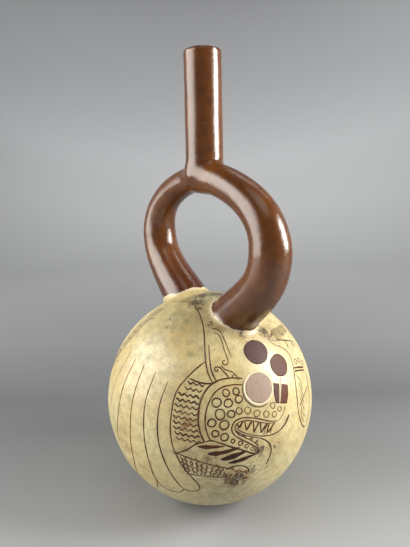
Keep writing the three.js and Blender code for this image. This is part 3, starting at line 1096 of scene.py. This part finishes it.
def drawDiscs():
    # filled discs and a square; the great disc is painted pale, partly rubbed and partly a painted
    # highlight, and keeps a rim of bare cream painted paler than the slip as a highlight
    sheet = "front"
    roundPatch(sheet, (29, 30.8), 8.2, 0.94, tone=0.1, wear=0.1)
    roundPatch(sheet, (45, 22.7), 7.3, 1.0, tone=0.75, wear=0.05)
    for first, second, tone in (([(37.4, 11.9), (38, 6), (39, 0.4)],
                                 [(42.9, 11.4), (42, 5.5), (41.7, -0.3)], 0.35),
                                ([(43.7, 11.3), (42.8, 5.5), (42.5, -0.4)],
                                 [(50, 10.2), (49.7, 4.4), (47.9, -1.8)], 1.0)):
        left, right = curveThrough(first, step=0.7), curveThrough(second, step=0.7)
        count = min(len(left), len(right))
        filled(sheet, left[:count], right[:count], 8, tone=tone)
    # the great disc: mostly its pale tone, rubbed wear and painted highlight together
    roundPatch(sheet, (28.1, 9.6), 8.5, 1.0, tone=0.2, wear=0.8)
    # its rim of bare cream, painted paler than the slip as a highlight
    ring(sheet, (28.1, 9.6), 9.15, 1.5, 0.006, kind="reserved")
    penLine(sheet, [(44.6, 15.2), (43.9, 10), (42.6, 4), (42, -0.2)], 0.8, kind="reserved", wear=0.5)
    penLine(sheet, [(19.2, 14.4), (18, 10), (18.6, 5.4), (21.2, 1.8), (25, -0.4), (29.4, -0.8),
                    (33.6, 0.8)],
            paintSettings["fine"], wear=[0.7, 0.2, 0.1, 0.1, 0.5])
    roundPatch("back", (-14, 2), 7.4, 1.0, tone=0.4, wear=0.1)
    for x, y, r in ((-31, 30, 4.2), (3, 30.5, 4.0)):
        roundPatch("back", (x, y), r, 1.0, tone=0.7, wear=0.15)


drawFront()
drawBack()
drawDiscs()


def paintMesh(name, kind):
    films = paintFilms[kind]
    points, faces, wear, tone = [], [], [], []
    tops = np.concatenate([wrapRound(f["sheet"], f["grid"].reshape(-1, 2)) for f in films])
    tops = ontoSkin(clayDistance, tops, paintSettings["lift"][kind], 2)
    normals = steepest(clayDistance, tops)
    normals /= np.linalg.norm(normals, axis=1)[:, None]
    floors = tops - normals * paintSettings["bedding"]
    base = 0
    for film in films:
        rows, columns = film["grid"].shape[:2]
        size = rows * columns
        points += [tops[base : base + size], floors[base : base + size]]
        top = 2 * base + np.arange(size).reshape(rows, columns)
        under = top + size
        last = rows if film["closed"] else rows - 1
        for i in range(last):
            j = (i + 1) % rows
            for k in range(columns - 1):
                faces.append((top[i, k], top[j, k], top[j, k + 1], top[i, k + 1]))
                faces.append((under[i, k], under[i, k + 1], under[j, k + 1], under[j, k]))
            faces.append((top[i, 0], under[i, 0], under[j, 0], top[j, 0]))
            faces.append((top[j, -1], under[j, -1], under[i, -1], top[i, -1]))
        if not film["closed"]:
            for k in range(columns - 1):
                faces.append((top[0, k], top[0, k + 1], under[0, k + 1], under[0, k]))
                faces.append((top[-1, k + 1], top[-1, k], under[-1, k], under[-1, k + 1]))
        wear += [np.repeat(film["wear"], columns)] * 2
        tone += [np.full(2 * size, film["tone"])]
        base += size
    mesh = bpy.data.meshes.new(name)
    mesh.from_pydata((np.concatenate(points) * mm).tolist(), [],
                     [[int(c) for c in face] for face in faces])
    mesh.polygons.foreach_set("use_smooth", [True] * len(mesh.polygons))
    addMask(mesh, "wear", np.concatenate(wear))
    addMask(mesh, "tone", np.concatenate(tone))
    mesh.update()
    piece = addObject(name, mesh)
    print(name, len(mesh.vertices), "points")
    return piece


def paintMaterial(name, first, second, wornAndHighlightTone, roughness):
    # Clay paint, laid on thinly before the firing: matt, a little uneven, rubbed through in places. Where
    # rubbed it turns to its pale tone, which on the great disc is also a painted highlight.
    material, tree, shader = newMaterial(name)
    place = addNode(tree, "ShaderNodeTexCoord").outputs["Object"]
    tone = addNode(tree, "ShaderNodeAttribute", {"attribute_name": "tone"}).outputs["Fac"]
    wear = addNode(tree, "ShaderNodeAttribute", {"attribute_name": "wear"}).outputs["Fac"]
    body = addNode(tree, "ShaderNodeTexNoise", Vector=place, Scale=1000 / paintSettings["cloud"],
                   Detail=4.0).outputs["Fac"]
    rub = addNode(tree, "ShaderNodeTexNoise", Vector=place, Scale=1000 / paintSettings["rub"],
                  Detail=4.0, Roughness=0.65).outputs["Fac"]
    blend = addNode(tree, "ShaderNodeMath", {"operation": "MULTIPLY_ADD"}, Value0=body, Value1=0.7,
                    Value2=tone)
    share = addNode(tree, "ShaderNodeMapRange", Value=blend.outputs[0], From_Min=0.35, From_Max=1.35)
    colour = addNode(tree, "ShaderNodeMix", {"data_type": "RGBA"}, Factor=share.outputs["Result"],
                     A=linearColour(first), B=linearColour(second))
    scuffAndHighlight = addNode(tree, "ShaderNodeMath", {"operation": "MULTIPLY_ADD"}, Value0=rub, Value1=0.9,
                      Value2=wear)
    bare = addNode(tree, "ShaderNodeMapRange", Value=scuffAndHighlight.outputs[0], From_Min=0.6, From_Max=1.25)
    colour = addNode(tree, "ShaderNodeMix", {"data_type": "RGBA"}, Factor=bare.outputs["Result"],
                     A=colour.outputs["Result"], B=linearColour(wornAndHighlightTone))
    tree.links.new(colour.outputs["Result"], shader.inputs["Base Color"])
    rough = addNode(tree, "ShaderNodeMapRange", Value=rub, From_Min=0.3, From_Max=0.7,
                    To_Min=roughness - 0.06, To_Max=roughness + 0.08)
    tree.links.new(rough.outputs["Result"], shader.inputs["Roughness"])
    shader.inputs["Specular IOR Level"].default_value = paintSettings["sheen"]
    strength, height = paintSettings["bump"]
    grain = addNode(tree, "ShaderNodeBump", Strength=strength, Distance=height, Height=rub)
    tree.links.new(grain.outputs["Normal"], shader.inputs["Normal"])
    return material


# Each painted piece: its films, what its material is called, its two tones, the tone where it is worn (on
# the great disc also a painted highlight) and its roughness.
paints = {
    "finelinePainting": ("lines", "brown fineline clay paint", ("brown", "brownThin", "wornLine"), 0.5),
    "filledShapes": ("discs", "plum and russet clay paint", ("plum", "russet", "wornAndHighlightDisc"), 0.56),
    "reservedRims": ("reserved", "bare cream rim with painted highlight", ("reserved", "reserved", "reserved"), 0.5),
}
for name, (kind, finish, tones, roughness) in paints.items():
    piece = paintMesh(name, kind)
    piece.data.materials.append(paintMaterial(finish, *[paintSettings[t] for t in tones], roughness))
    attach(piece, "root")
print("painting laid on the body")
